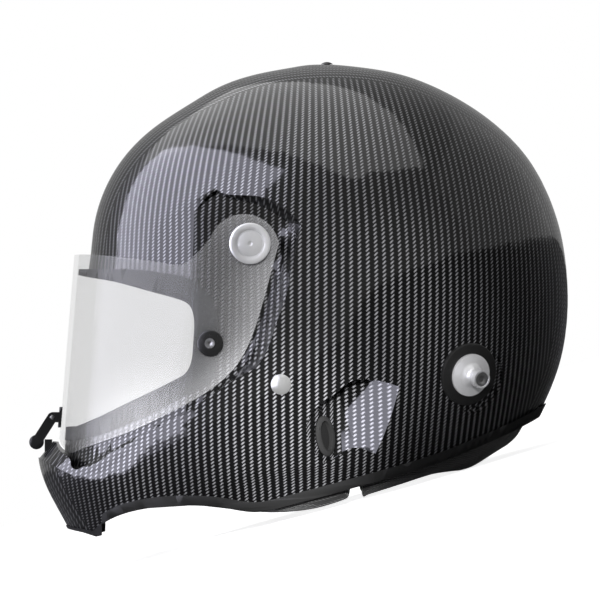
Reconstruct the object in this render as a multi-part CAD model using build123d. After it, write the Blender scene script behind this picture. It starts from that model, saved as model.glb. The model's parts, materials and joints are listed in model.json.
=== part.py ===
from build123d import *
from math import atan2, cos, degrees, hypot, pi, radians, sin, sqrt
import os

# Closed auto racing helmet with a swinging visor and head restraint anchors.
# It is drawn level, as worn: front -Y, wearer's left +X, up +Z, zero at the visor pivot.
# Every piece is tipped back at the end, onto the padding that the helmet stands on.

# Shell, in millimetres
SHELL_LENGTH = 338.0
SHELL_HEIGHT = 300.0
SHELL_WIDTH = 254.0
SHELL_WALL = 3.2
FIT_GAP = 0.3
SEAT_GAP = 0.05
OVERRUN = 40.0

# Visor: a bent sheet, half round at the front and straight along the sides
VISOR_HALF_WIDTH = 108.0
VISOR_WALL = 3.0
VISOR_NOSE_SHIFT = 4.1
VISOR_RAKE = 4.64
VISOR_TAIL_RADIUS = 18.2
VISOR_SWING = 48.0
SWING_ROOM_RADIUS = 40.0
POCKET_GAP = 1.0
POCKET_FLARE = 15.0
GASKET_GAP = 0.6
GASKET_DEPTH = 9.0
FLOOR_X = VISOR_HALF_WIDTH - VISOR_WALL - POCKET_GAP
RIGHT_ANGLE = 90.0

# Pivot at each side of the visor
PIVOT_SHAFT_RADIUS = 6.0
PIVOT_RUNNING_GAP = 0.08
PIVOT_STUD_RADIUS = 4.0
PIVOT_STUD_LENGTH = 3.2
PIVOT_SIDE_GAP = 0.25
PIVOT_NUT_RADIUS = 11.0
PIVOT_NUT_THICKNESS = 2.5
PIVOT_NUT_GAP = 0.45
PIVOT_WASHER_RADIUS = 10.0
PIVOT_WASHER_THICKNESS = 0.7
KNOB_RADIUS = 13.0
KNOB_THICKNESS = 5.4
KNOB_CHAMFER = 1.0
KNOB_GROOVE_RADIUS = 7.6
KNOB_GROOVE_WIDTH = 1.4
KNOB_GROOVE_DEPTH = 1.0
KNOB_DIMPLE_RADIUS = 1.6

# Chin facet: a tapered oval trims the chin above its crease
FACET_TILT = 24.0
FACET_CENTRE_Y = 10.0
FACET_CENTRE_Z = -201.2
FACET_BASE_HALF_WIDTH = 115.0
FACET_BASE_HALF_LENGTH = 159.0
FACET_TOP_HALF_WIDTH = 145.0
FACET_TOP_HALF_LENGTH = 110.0
FACET_TOP_SHIFT = 30.5
FACET_HEIGHT = 68.5

# Hollow flank low on each cheek
FLANK_RADIUS = 45.0
FLANK_OUT = 147.0
FLANK_Y = 25.0
FLANK_Z = -175.0
FLANK_TILT = 5.2

# Air port: a scoop that faces backwards, with a rubber grommet in its front wall
SCOOP_LIP_X = 120.0
SCOOP_LIP_Y = 38.0
SCOOP_WALL_ANGLE = 45.0
SCOOP_WALL_LENGTH = 24.0
SCOOP_FLOOR_ANGLE = 24.0
PORT_Z = -121.0
PORT_INSET = 12.5
PORT_HALF_HEIGHT = 13.0
PORT_HALF_WIDTH = 8.2
PORT_LEAN = 14.0
PORT_RIM = 3.2
PORT_FLANGE = 1.2
PORT_RIM_HEIGHT = 2.2
PORT_PLUG_DEPTH = 1.0

# Head restraint anchors
ANCHOR_Y = 137.6
ANCHOR_Z = -82.2
ANCHOR_WASHER_RADIUS = 20.0
ANCHOR_WASHER_THICKNESS = 3.4
ANCHOR_SEAT_DEPTH = 2.0
ANCHOR_FLANGE_RADIUS = 13.5
ANCHOR_FLANGE_THICKNESS = 1.6
ANCHOR_NECK_RADIUS = 4.4
ANCHOR_CONE_HEIGHT = 4.0
ANCHOR_NECK_LENGTH = 3.6
ANCHOR_HEAD_RADIUS = 5.8
ANCHOR_HEAD_LENGTH = 5.0
ANCHOR_BOLT_RADIUS = 3.0
ANCHOR_BOLT_HEAD_RADIUS = 4.4
ANCHOR_BOLT_HEAD_HEIGHT = 3.4
ANCHOR_HEX = 4.0
ANCHOR_HEX_DEPTH = 2.2
ANCHOR_NUT_RADIUS = 12.0
ANCHOR_NUT_THICKNESS = 2.4
ANCHOR_NUT_DEPTH = 4.5
GROOVE_INNER_RADIUS = 23.4
GROOVE_OUTER_RADIUS = 21.2
GROOVE_SHIFT = 6.8
GROOVE_DEPTH = 4.4
GROOVE_TURN = -31.0

# Chin strap and its rivets
RIVET_Y = 19.5
RIVET_Z = -88.4
RIVET_RADIUS = 6.4
RIVET_DOME_HEIGHT = 2.4
RIVET_SHANK_RADIUS = 2.5
RIVET_TAIL_RADIUS = 5.5
RIVET_TAIL_THICKNESS = 1.5
STRAP_WIDTH = 25.0
STRAP_THICKNESS = 2.0
STRAP_Y = -5.0
STRAP_TOP_X = 74.0
STRAP_TOP_Z = -124.0
STRAP_BEND_X = 52.0
STRAP_BEND_Z = -142.0
STRAP_LOW_Z = -152.0
RING_PITCH = 9.0
RING_BAR = 3.4
RING_THICKNESS = 2.4
RING_WIDTH = 34.0
RING_CORNER = 2.6

# Tear-off post on each side of the visor
TEAROFF_Y = -24.6
TEAROFF_Z = -62.8
TEAROFF_RADIUS = 8.2
TEAROFF_HEIGHT = 4.2
TEAROFF_NECK_RADIUS = 5.4
TEAROFF_NECK_HEIGHT = 1.6
TEAROFF_SCREW_RADIUS = 3.2
TEAROFF_SCREW_HEIGHT = 0.8
TEAROFF_SHANK_RADIUS = 1.6
TEAROFF_ROUND = 0.8

# Latch on the chin: a lever on the visor that hooks over a catch
LATCH_PIN_Y = -127.0
LATCH_PIN_Z = -110.5
LATCH_PIN_RADIUS = 1.4
LATCH_WIDTH = 10.4
LATCH_ARM = 6.4
LATCH_KNOB_RADIUS = 4.6
LATCH_KNOB_Y = -137.2
LATCH_KNOB_Z = -126.4
LATCH_EAR = 2.4
LATCH_PAD_HALF_HEIGHT = 6.5
LATCH_PAD_THICKNESS = 1.6
LATCH_BOSS_WALL = 1.8
CATCH_HALF_WIDTH = 5.0
CATCH_REACH = 4.6
CATCH_HEIGHT = 9.0
CATCH_Y = -129.6
CATCH_Z = -129.2

# Crown plug
PLUG_RADIUS = 3.9
PLUG_DOME_HEIGHT = 1.5
PLUG_SHANK_RADIUS = 1.8
PLUG_SEAT_GAP = 0.3

# Base trim: a rubber channel over the lower edge of the shell
TRIM_LEAF = 1.4
TRIM_HEIGHT = 5.0
TRIM_DROP = 1.4
CHIN_TRIM_LEAF = 0.8
CHIN_TRIM_WALL = 5.0

# Lining: the foam stands in the shell, and fabric pads line the foam
FOAM_GAP = 0.4
CAVITY_HALF_WIDTH = 88.0
CAVITY_HALF_LENGTH = 108.0
CAVITY_HEIGHT = 76.0
CAVITY_Y = 46.0
CAVITY_Z = -12.0
MOUTH_HALF_WIDTH = 84.0
MOUTH_HALF_LENGTH = 104.0
MOUTH_Y = 2.0
CHIN_FOAM_TOP_Z = -130.0
CHIN_FOAM_LOW_Z = -166.0
CROWN_PAD_THICKNESS = 9.0
CROWN_PAD_RISE = 40.0
PAD_WALL_GAP = 2.6
CHEEK_PAD_THICKNESS = 28.0
MOUTH_PAD_THICKNESS = 24.0
CHEEK_PAD_FRONT_Y = -86.0
CHEEK_PAD_REAR_Y = 66.0
PAD_CUT = 0.5
PAD_HEIGHT = 50.0
PAD_SPLIT_GAP = 0.5

# Shares of the shell height, length, length and half width, from the chin to the crown
BODY_SECTION_SHARES = [
    (-0.633, -0.331, 0.408, 0.740),
    (-0.567, -0.363, 0.444, 0.827),
    (-0.500, -0.392, 0.476, 0.894),
    (-0.450, -0.402, 0.503, 0.937),
    (-0.373, -0.396, 0.540, 0.976),
    (-0.283, -0.373, 0.576, 0.996),
    (-0.167, -0.337, 0.598, 1.000),
    (-0.050, -0.306, 0.597, 0.996),
    (0.040, -0.2965, 0.583, 0.972),
    (0.120, -0.275, 0.557, 0.917),
    (0.190, -0.237, 0.520, 0.835),
    (0.250, -0.182, 0.469, 0.724),
    (0.300, -0.115, 0.408, 0.590),
    (0.340, -0.052, 0.340, 0.437),
    (0.365, 0.018, 0.275, 0.283),
    (0.378, 0.080, 0.207, 0.146),
]
APEX_SHARES = (0.144, 0.3835)
BULGE_BASE_SHARE = -0.05
WIDEST_SHARE = 0.54
FRONT_SQUARENESS = 2.15
REAR_SQUARENESS = 2.1
RING_POINTS = 16
DOME_RINGS = 7
DOME_SIDES = 36

# Outlines seen from the side: shares of the shell length and height from the pivot
VISOR_TOP_SHARES = [(-0.333, -0.022), (-0.250, -0.027), (-0.153, -0.042), (-0.129, -0.0437),
                    (-0.108, -0.030), (-0.074, 0.012)]
VISOR_REAR_SHARES = [(0.032, -0.0907), (0.017, -0.150), (-0.002, -0.210), (-0.023, -0.253)]
VISOR_LOWER_SHARES = [(-0.054, -0.289), (-0.0855, -0.315), (-0.164, -0.363), (-0.2237, -0.3947),
                      (-0.280, -0.4177), (-0.3237, -0.437), (-0.339, -0.4417), (-0.350, -0.435),
                      (-0.3615, -0.415)]
VISOR_FRONT_SHARES = [(-0.42, -0.395), (-0.42, -0.022)]

POCKET_FRONT_SHARES = [(-0.46, -0.40), (-0.46, 0.32), (-0.18, 0.32)]
POCKET_LOWER_SHARES = [(-0.0855, -0.3273), (-0.164, -0.3807), (-0.2237, -0.4123),
                       (-0.2858, -0.4533), (-0.318, -0.4727), (-0.3275, -0.476),
                       (-0.336, -0.470), (-0.338, -0.458), (-0.352, -0.4433), (-0.366, -0.4217)]
POCKET_INNER_TOP_SHARES = [(-0.068, 0.1183), (-0.0284, 0.095), (0.015, 0.082), (0.0435, 0.065),
                           (0.0725, 0.0437)]
POCKET_INNER_REAR_SHARES = [(0.068, 0.018), (0.0575, -0.0267), (0.0435, -0.0713),
                            (0.030, -0.131), (0.011, -0.191), (-0.006, -0.2517)]
POCKET_INNER_HEEL_SHARES = [(-0.0415, -0.2875)]
POCKET_OUTER_TOP_SHARES = [(-0.076, 0.1207), (-0.021, 0.1163), (0.032, 0.1033), (0.0586, 0.082),
                           (0.095, 0.0395)]
POCKET_OUTER_REAR_SHARES = [(0.089, -0.001), (0.0775, -0.054), (0.066, -0.114),
                            (0.049, -0.167), (0.038, -0.206), (0.0112, -0.260)]
POCKET_OUTER_HEEL_SHARES = [(-0.0385, -0.292)]
POCKET_BACK_SHARES = [(-0.46, -0.520), (-0.331, -0.520), (-0.235, -0.470), (-0.100, -0.365),
                      (0.030, -0.275), (0.110, 0.020), (0.110, 0.060), (0.050, 0.115),
                      (-0.060, 0.145), (-0.300, 0.320), (-0.460, 0.320)]

PORT_EDGE_SHARES = [(-0.334, -0.063), (-0.290, -0.073), (-0.254, -0.080), (-0.218, -0.0907),
                    (-0.1686, -0.1057), (-0.1325, -0.1173), (-0.1136, -0.129), (-0.106, -0.148),
                    (-0.106, -0.208), (-0.108, -0.238), (-0.119, -0.270), (-0.144, -0.289),
                    (-0.193, -0.3167), (-0.2405, -0.342), (-0.276, -0.3617), (-0.333, -0.389)]
GASKET_EDGE_SHARES = [(-0.333, -0.0523), (-0.248, -0.0533), (-0.191, -0.0567), (-0.153, -0.063),
                      (-0.119, -0.0713), (-0.087, -0.095), (-0.068, -0.1247), (-0.0607, -0.161),
                      (-0.0607, -0.2507), (-0.072, -0.2867), (-0.1036, -0.3083),
                      (-0.164, -0.3467), (-0.2237, -0.3767), (-0.280, -0.4017),
                      (-0.333, -0.4167)]
PORT_FRONT_SHARE = -0.46

BASE_CHIN_SHARES = [(-0.46, -0.592), (-0.352, -0.598), (-0.296, -0.607)]
CHIN_TRIM_SHARES = [(-0.370, -0.5983), (-0.352, -0.5983), (-0.296, -0.6073), (-0.2790, -0.5885),
                    (-0.2790, -0.6160), (-0.290, -0.6190), (-0.315, -0.6110), (-0.352, -0.6040),
                    (-0.370, -0.6040)]
BASE_EDGE_SHARES = [(-0.278, -0.587), (-0.246, -0.568), (-0.207, -0.555), (-0.110, -0.545),
                    (-0.047, -0.550), (0.017, -0.5583), (0.047, -0.5517), (0.142, -0.5233),
                    (0.266, -0.485), (0.349, -0.4567), (0.429, -0.4217), (0.482, -0.3967),
                    (0.5355, -0.3683), (0.640, -0.310)]
PADS_LOW_SHARES = [(-0.283, -0.592), (-0.225, -0.572), (-0.150, -0.557), (-0.040, -0.560),
                   (0.020, -0.571), (0.074, -0.5727), (0.127, -0.566), (0.204, -0.541),
                   (0.297, -0.5025), (0.345, -0.486), (0.390, -0.482), (0.417, -0.472),
                   (0.4716, -0.434), (0.528, -0.406), (0.545, -0.380)]
REST_POINT_SHARES = [(0.131, -0.565), (0.403, -0.478)]
SCOOP_SHARES = [(0.174, -0.298), (0.140, -0.328), (0.110, -0.363), (0.106, -0.395),
                (0.117, -0.428), (0.136, -0.458), (0.160, -0.445), (0.195, -0.427),
                (0.240, -0.443), (0.290, -0.440), (0.320, -0.400), (0.310, -0.330),
                (0.250, -0.290)]
SCOOP_BACK_SHARES = [(0.095, -0.335), (0.170, -0.275), (0.345, -0.275), (0.345, -0.420),
                     (0.300, -0.448), (0.150, -0.480), (0.095, -0.430)]


def side_points(shares):
    """Points in the side plane from shares of the shell length and height."""
    return [(y * SHELL_LENGTH, z * SHELL_HEIGHT) for y, z in shares]


def across(curves, half_width):
    """A prism that runs across the helmet under a closed outline seen from the side."""
    return extrude(Plane.YZ * make_face(curves), half_width, both=True)


def body_ring(height, front, rear, width, inset):
    """One level oval of the helmet body, drawn in by the inset square to its surface."""
    rise = min(1, max(0, (height - BULGE_BASE_SHARE) / (APEX_SHARES[1] - BULGE_BASE_SHARE)))
    lean = sqrt(1 - rise ** 2)
    y_front = front * SHELL_LENGTH + inset * lean
    y_rear = rear * SHELL_LENGTH - inset * lean
    half_width = width * SHELL_WIDTH / 2 - inset * lean
    y_widest = y_front + WIDEST_SHARE * (y_rear - y_front)
    points = []
    for step in range(RING_POINTS):
        turn = 2 * pi * step / RING_POINTS
        ahead = cos(turn) > 0
        power = 2 / (FRONT_SQUARENESS if ahead else REAR_SQUARENESS)
        reach = y_front - y_widest if ahead else y_rear - y_widest
        side = 1 if sin(turn) >= 0 else -1
        x = side * half_width * abs(sin(turn)) ** power
        y = y_widest + reach * abs(cos(turn)) ** power
        points.append(Vector(x, y, height * SHELL_HEIGHT - inset * rise))
    return Wire([Edge.make_spline(points, periodic=True)])


def body(inset, stepped=False):
    """The whole helmet body, smooth outside and stepped from ring to ring where hidden."""
    rings = [body_ring(*section, inset) for section in BODY_SECTION_SHARES]
    apex = Vertex(0, APEX_SHARES[0] * SHELL_LENGTH, APEX_SHARES[1] * SHELL_HEIGHT - inset)
    return Solid.make_loft(rings + [apex], ruled=stepped)


def visor_block(inset):
    """A solid block with the outer form of the visor, drawn in by the inset."""
    radius = VISOR_HALF_WIDTH - inset
    centre = -VISOR_NOSE_SHIFT
    back = SHELL_LENGTH / 2
    bend = ThreePointArc((radius, centre), (0, centre - radius), (-radius, centre))
    sides = Polyline((-radius, centre), (-radius, back), (radius, back), (radius, centre))
    return Rot(-VISOR_RAKE, 0, 0) * extrude(make_face([bend, sides]), SHELL_HEIGHT, both=True)


def pocket_core(inset):
    """What the pocket leaves standing: it clears the visor where it is shut and open."""
    core = visor_block(VISOR_WALL + POCKET_GAP + inset)
    swing_room = cylinder_x(SWING_ROOM_RADIUS, -SHELL_WIDTH, SHELL_WIDTH)
    return core - (swing_room - Rot(-VISOR_SWING, 0, 0) * core)


def pocket_curves(top, rear, heel):
    """The closed outline of the visor pocket at one depth."""
    top_points = side_points(top)
    rear_points = side_points(rear)
    lower_points = side_points(heel + POCKET_LOWER_SHARES)
    front_points = side_points(POCKET_FRONT_SHARES)
    return [
        Spline(*top_points),
        Spline(top_points[-1], *rear_points),
        Spline(rear_points[-1], *lower_points),
        Polyline(lower_points[-1], *front_points, top_points[0]),
    ]


def pocket_cutter():
    """What is cut away round the visor, with walls that flare out to the ridge."""
    inner = pocket_curves(POCKET_INNER_TOP_SHARES, POCKET_INNER_REAR_SHARES,
                          POCKET_INNER_HEEL_SHARES)
    outer = pocket_curves(POCKET_OUTER_TOP_SHARES, POCKET_OUTER_REAR_SHARES,
                          POCKET_OUTER_HEEL_SHARES)
    rim_x = FLOOR_X + POCKET_FLARE
    far_x = rim_x + OVERRUN
    steps = [(-far_x, outer), (-rim_x, outer), (-FLOOR_X, inner),
             (FLOOR_X, inner), (rim_x, outer), (far_x, outer)]
    faces = [Pos(x, 0, 0) * (Plane.YZ * make_face(curves)) for x, curves in steps]
    return loft(faces, ruled=True) - pocket_core(0)


def pocket_hollow(inset):
    """The plainer cut on the inside of the shell, behind the visor pocket."""
    region = across([Polyline(*side_points(POCKET_BACK_SHARES), close=True)], SHELL_WIDTH)
    return region - pocket_core(inset)


def facet_cutter():
    """What is cut from the chin above its crease."""
    tilt = radians(FACET_TILT)
    plane = Plane(origin=(0, FACET_CENTRE_Y, FACET_CENTRE_Z), x_dir=(1, 0, 0),
                  z_dir=(0, sin(tilt), cos(tilt)))
    base = Ellipse(FACET_BASE_HALF_WIDTH, FACET_BASE_HALF_LENGTH)
    top = Pos(0, -FACET_TOP_SHIFT, FACET_HEIGHT) * Ellipse(
        FACET_TOP_HALF_WIDTH, FACET_TOP_HALF_LENGTH)
    ahead = FACET_BASE_HALF_LENGTH + OVERRUN
    slab = Pos(0, -(ahead + OVERRUN) / 2, FACET_HEIGHT / 2) * Box(
        2 * FACET_TOP_HALF_WIDTH, ahead - OVERRUN, FACET_HEIGHT)
    return plane * (slab - loft([base, top], ruled=True))


def flank_cutter(inset):
    """The hollow low on the left cheek."""
    bar = Cylinder(FLANK_RADIUS + inset, 2 * SHELL_LENGTH)
    return Pos(FLANK_OUT, FLANK_Y, FLANK_Z) * Rot(FLANK_TILT + RIGHT_ANGLE, 0, 0) * bar


def port_plane():
    """The scoop's front wall on the left side: X runs along the wall, Z points out of it."""
    wall = radians(SCOOP_WALL_ANGLE)
    return Plane(origin=(SCOOP_LIP_X, SCOOP_LIP_Y, PORT_Z), x_dir=(-cos(wall), sin(wall), 0),
                 z_dir=(sin(wall), cos(wall), 0))


def scoop_groove(inset):
    """The steep front wall and the rising floor of the left scoop, as one long groove."""
    wall = radians(SCOOP_WALL_ANGLE)
    floor = radians(SCOOP_FLOOR_ANGLE)
    corner = Vector(SCOOP_LIP_X - SCOOP_WALL_LENGTH * cos(wall) - inset,
                    SCOOP_LIP_Y + SCOOP_WALL_LENGTH * sin(wall) - inset / 2)
    up_wall = corner + Vector(cos(wall), -sin(wall)) * SHELL_LENGTH
    up_floor = corner + Vector(sin(floor), cos(floor)) * SHELL_LENGTH
    edge = Polyline((corner.X, corner.Y), (up_wall.X, up_wall.Y), (up_floor.X, up_floor.Y),
                    close=True)
    return extrude(make_face(edge), SHELL_HEIGHT, both=True)


def scoop_cutter():
    """The scoop behind the left cheek."""
    outline = Spline(*side_points(SCOOP_SHARES), periodic=True)
    column = Pos(SCOOP_LIP_X, 0, 0) * across([outline], OVERRUN)
    return column & scoop_groove(0)


def scoop_hollow(inset):
    """The plainer cut on the inside of the shell, behind the scoop."""
    outline = Polyline(*side_points(SCOOP_BACK_SHARES), close=True)
    column = Pos(SCOOP_LIP_X, 0, 0) * across([outline], OVERRUN)
    return column & scoop_groove(inset)


def both_sides(solid):
    """A piece on the left side and its mirror image."""
    return [solid, mirror(solid, Plane.YZ)]


def outside_form():
    """The outer surface of the shell, as a solid."""
    cutters = [facet_cutter(), pocket_cutter()]
    cutters += both_sides(flank_cutter(0)) + both_sides(scoop_cutter())
    return body(0) - cutters


def inside_form(inset):
    """The body drawn in by the inset, with plain cuts behind the features of the shell."""
    cutters = [pocket_hollow(inset)]
    cutters += both_sides(flank_cutter(inset)) + both_sides(scoop_hollow(inset))
    return body(inset, stepped=True) - cutters


def opening_prism(edge_shares, half_width):
    """A prism through the eye port, open to the front."""
    edge = side_points(edge_shares)
    front = PORT_FRONT_SHARE * SHELL_LENGTH
    closing = Polyline(edge[-1], (front, edge[-1][1]), (front, edge[0][1]), edge[0])
    return across([Spline(*edge), closing], half_width)


def base_curves(drop):
    """The lower edge of the helmet and the space below it, moved down by the drop."""
    chin = [(y, z - drop) for y, z in side_points(BASE_CHIN_SHARES)]
    edge = [(y, z - drop) for y, z in side_points(BASE_EDGE_SHARES)]
    floor = -SHELL_HEIGHT
    return [
        Polyline(*chin, edge[0]),
        Spline(*edge),
        Polyline(edge[-1], (edge[-1][0], floor), (chin[0][0], floor), chin[0]),
    ]


def below_base(drop):
    """Everything below the lower edge of the shell."""
    return across(base_curves(drop), SHELL_WIDTH)


def cylinder_x(radius, start, end, y=0, z=0):
    """A round bar along X on the left side."""
    face = Pos(start, y, z) * (Plane.YZ * Circle(radius))
    return extrude(face, end - start)


def skin_plane(solid, y, z):
    """A plane on the left skin at a place seen from the side, with Z square to the skin."""
    hits = solid.find_intersection_points(Axis((0, y, z), (1, 0, 0)))
    point, normal = max(hits, key=lambda hit: hit[0].X)
    if normal.X < 0:
        normal = -normal
    along = Vector(0, 0, 1).cross(normal).normalized()
    return Plane(origin=point, x_dir=along, z_dir=normal)


def turned(points):
    """A solid of revolution about Z from points of radius and height."""
    return revolve(Plane.XZ * make_face(Polyline(*points, close=True)), Axis.Z)


def cavity(inset):
    """The space for the head, with a straight skirt below it."""
    half_width = CAVITY_HALF_WIDTH - inset
    half_length = CAVITY_HALF_LENGTH - inset
    height = CAVITY_HEIGHT - inset
    levels = [(-SHELL_HEIGHT, 1)]
    for step in range(DOME_RINGS):
        rise = pi / 2 * step / DOME_RINGS
        levels.append((height * sin(rise), cos(rise)))
    corners = [(half_width * sin(2 * pi * side / DOME_SIDES),
                half_length * cos(2 * pi * side / DOME_SIDES)) for side in range(DOME_SIDES)]
    rings = []
    for level, share in levels:
        points = [Vector(x * share, CAVITY_Y + y * share, CAVITY_Z + level) for x, y in corners]
        rings.append(Wire.make_polygon(points))
    apex = Vertex(0, CAVITY_Y, CAVITY_Z + height)
    return Solid.make_loft(rings + [apex], ruled=True)


def mouth(inset):
    """The space ahead of the mouth and chin."""
    face = Pos(0, MOUTH_Y, 0) * Ellipse(MOUTH_HALF_WIDTH - inset, MOUTH_HALF_LENGTH - inset)
    return extrude(face, -SHELL_HEIGHT)


def rest_tilt():
    """The angle of the plane under the pads, from the two places that touch down."""
    (y_near, z_near), (y_far, z_far) = side_points(REST_POINT_SHARES)
    return degrees(atan2(z_far - z_near, y_far - y_near))


def under_rest(cut):
    """Everything below the plane that the helmet stands on, raised by the cut."""
    y_near, z_near = side_points(REST_POINT_SHARES)[0]
    slab = Pos(0, 0, -SHELL_HEIGHT / 2) * Box(2 * SHELL_WIDTH, 4 * SHELL_LENGTH, SHELL_HEIGHT)
    return Pos(0, y_near, z_near) * Rot(rest_tilt(), 0, 0) * Pos(0, 0, cut) * slab


def stand(shape):
    """Tip a piece back with the whole helmet and lift it onto the ground plane."""
    y_near, z_near = side_points(REST_POINT_SHARES)[0]
    return Pos(0, 0, -PAD_CUT) * Rot(-rest_tilt(), 0, 0) * Pos(0, -y_near, -z_near) * shape


def pad_column(split_low, split_high):
    """A block across the helmet between two places along its length."""
    length = split_high - split_low
    middle = (split_low + split_high) / 2
    return Pos(0, middle, 0) * Box(2 * SHELL_WIDTH, length, 4 * SHELL_HEIGHT)


def under_pads(rise):
    """Everything below the lower outline of the pads, raised by the rise."""
    low = [(y, z + rise) for y, z in side_points(PADS_LOW_SHARES)]
    floor = -2 * SHELL_HEIGHT
    (front_y, front_z), (rear_y, rear_z) = low[0], low[-1]
    return across([
        Spline(*low),
        Polyline((rear_y, rear_z), (rear_y + OVERRUN, rear_z), (rear_y + OVERRUN, floor),
                 (front_y - OVERRUN, floor), (front_y - OVERRUN, front_z), (front_y, front_z)),
    ], SHELL_WIDTH)


def edge_band(rise, drop):
    """A band along the lower edge of the shell, behind the chin."""
    start = side_points(BASE_EDGE_SHARES)[0][0]
    behind = Pos(0, start + SHELL_LENGTH, 0) * Box(
        2 * SHELL_WIDTH, 2 * SHELL_LENGTH, 4 * SHELL_HEIGHT)
    return (below_base(-rise) - below_base(drop)) & behind


def edge_ring(outer_inset, inner_inset, rise, drop):
    """A ring that follows the shell's lower edge between two insets."""
    band = edge_band(rise, drop)
    outer = (body(outer_inset) & band) - both_sides(flank_cutter(outer_inset))
    return outer - (body(inner_inset, stepped=True) - both_sides(flank_cutter(inner_inset)))


def pair(solid):
    """A piece and its mirror image, as one group of two solids."""
    return Compound(both_sides(solid))


def drilled(solid, holes):
    """A solid with holes on both sides."""
    return solid - [side for hole in holes for side in both_sides(hole)]


pieces = {}
outer_form = outside_form()
anchor_plane = skin_plane(outer_form, ANCHOR_Y, ANCHOR_Z)
rivet_plane = skin_plane(outer_form, RIVET_Y, RIVET_Z)
port = port_plane() * Pos(PORT_INSET, 0, 0) * Rot(0, 0, PORT_LEAN)
crown = Pos(0, APEX_SHARES[0] * SHELL_LENGTH, APEX_SHARES[1] * SHELL_HEIGHT)

# Outer shell
eye_port = opening_prism(GASKET_EDGE_SHARES, SHELL_WIDTH)
anchor_seat = anchor_plane * Pos(0, 0, OVERRUN / 2 - ANCHOR_SEAT_DEPTH) * Cylinder(
    ANCHOR_WASHER_RADIUS + SEAT_GAP, OVERRUN)
anchor_hole = anchor_plane * Cylinder(ANCHOR_BOLT_RADIUS + SEAT_GAP, OVERRUN)
rivet_hole = rivet_plane * Cylinder(RIVET_SHANK_RADIUS + SEAT_GAP, OVERRUN)
pivot_hole = cylinder_x(PIVOT_SHAFT_RADIUS + SEAT_GAP, FLOOR_X - OVERRUN, FLOOR_X + OVERRUN)
neck_width = PORT_HALF_WIDTH - PORT_FLANGE
neck_height = PORT_HALF_HEIGHT - PORT_FLANGE
port_hole = port * extrude(Ellipse(neck_width, neck_height), OVERRUN / 2, both=True)
crescent = Rot(0, 0, GROOVE_TURN) * Pos(GROOVE_SHIFT, 0) * Circle(GROOVE_OUTER_RADIUS)
crescent -= Circle(GROOVE_INNER_RADIUS)
groove = anchor_plane * Pos(0, 0, -GROOVE_DEPTH) * extrude(crescent, OVERRUN)
shell = outer_form - [inside_form(SHELL_WALL), eye_port, below_base(0)]
shell = drilled(shell, [anchor_seat, anchor_hole, rivet_hole, pivot_hole, port_hole, groove])
pieces["outer_shell"] = shell - crown * Cylinder(PLUG_SHANK_RADIUS + SEAT_GAP, OVERRUN)

# Eye port gasket
gasket_skin = visor_block(VISOR_WALL + GASKET_GAP) - visor_block(
    VISOR_WALL + GASKET_GAP + GASKET_DEPTH)
pieces["eyeport_gasket"] = (gasket_skin & eye_port) - opening_prism(
    PORT_EDGE_SHARES, SHELL_WIDTH)

# Base trim and chin trim
trim = edge_ring(-TRIM_LEAF, SHELL_WALL + TRIM_LEAF, TRIM_HEIGHT, TRIM_DROP)
trim_slot = edge_ring(-SEAT_GAP, SHELL_WALL + SEAT_GAP, OVERRUN, SEAT_GAP)
pieces["base_trim"] = trim - trim_slot
chin_band = across([Polyline(*side_points(CHIN_TRIM_SHARES), close=True)], SHELL_WIDTH)
pieces["chin_trim"] = (body(-CHIN_TRIM_LEAF) & chin_band) - body(CHIN_TRIM_WALL, stepped=True)

# Visor
visor_top = side_points(VISOR_TOP_SHARES)
visor_rear = side_points(VISOR_REAR_SHARES)
visor_lower = side_points(VISOR_LOWER_SHARES)
visor_shape = across([
    Spline(*visor_top),
    ThreePointArc(visor_top[-1], (0, VISOR_TAIL_RADIUS), (VISOR_TAIL_RADIUS, 0)),
    Spline((VISOR_TAIL_RADIUS, 0), *visor_rear),
    Spline(visor_rear[-1], *visor_lower),
    Polyline(visor_lower[-1], *side_points(VISOR_FRONT_SHARES), visor_top[0]),
], SHELL_WIDTH)
visor = (visor_block(0) - visor_block(VISOR_WALL)) & visor_shape
visor_hole = cylinder_x(PIVOT_SHAFT_RADIUS + PIVOT_RUNNING_GAP, FLOOR_X - OVERRUN,
                        FLOOR_X + OVERRUN)
tearoff_plane = skin_plane(visor, TEAROFF_Y, TEAROFF_Z)
tearoff_hole = tearoff_plane * Cylinder(TEAROFF_SHANK_RADIUS + SEAT_GAP, OVERRUN)
pieces["visor"] = drilled(visor, [visor_hole, tearoff_hole])

# Visor pivots: a post through the shell, a friction washer and a knob
shoulder_x = VISOR_HALF_WIDTH + PIVOT_SIDE_GAP
inner_x = FLOOR_X - SHELL_WALL - PIVOT_NUT_GAP
post = cylinder_x(PIVOT_NUT_RADIUS, inner_x - PIVOT_NUT_THICKNESS, inner_x)
post += cylinder_x(PIVOT_SHAFT_RADIUS, inner_x, shoulder_x)
post += cylinder_x(PIVOT_STUD_RADIUS, shoulder_x, shoulder_x + PIVOT_STUD_LENGTH)
pieces["pivot_posts"] = pair(post)
washer = cylinder_x(PIVOT_WASHER_RADIUS, FLOOR_X + SEAT_GAP,
                    FLOOR_X + SEAT_GAP + PIVOT_WASHER_THICKNESS)
pieces["pivot_washers"] = pair(washer - visor_hole)
knob = turned([
    (0, 0), (KNOB_RADIUS, 0), (KNOB_RADIUS, KNOB_THICKNESS - KNOB_CHAMFER),
    (KNOB_RADIUS - KNOB_CHAMFER, KNOB_THICKNESS),
    (KNOB_GROOVE_RADIUS + KNOB_GROOVE_WIDTH, KNOB_THICKNESS),
    (KNOB_GROOVE_RADIUS + KNOB_GROOVE_WIDTH, KNOB_THICKNESS - KNOB_GROOVE_DEPTH),
    (KNOB_GROOVE_RADIUS, KNOB_THICKNESS - KNOB_GROOVE_DEPTH),
    (KNOB_GROOVE_RADIUS, KNOB_THICKNESS),
    (KNOB_DIMPLE_RADIUS, KNOB_THICKNESS), (0, KNOB_THICKNESS - KNOB_DIMPLE_RADIUS),
])
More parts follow.
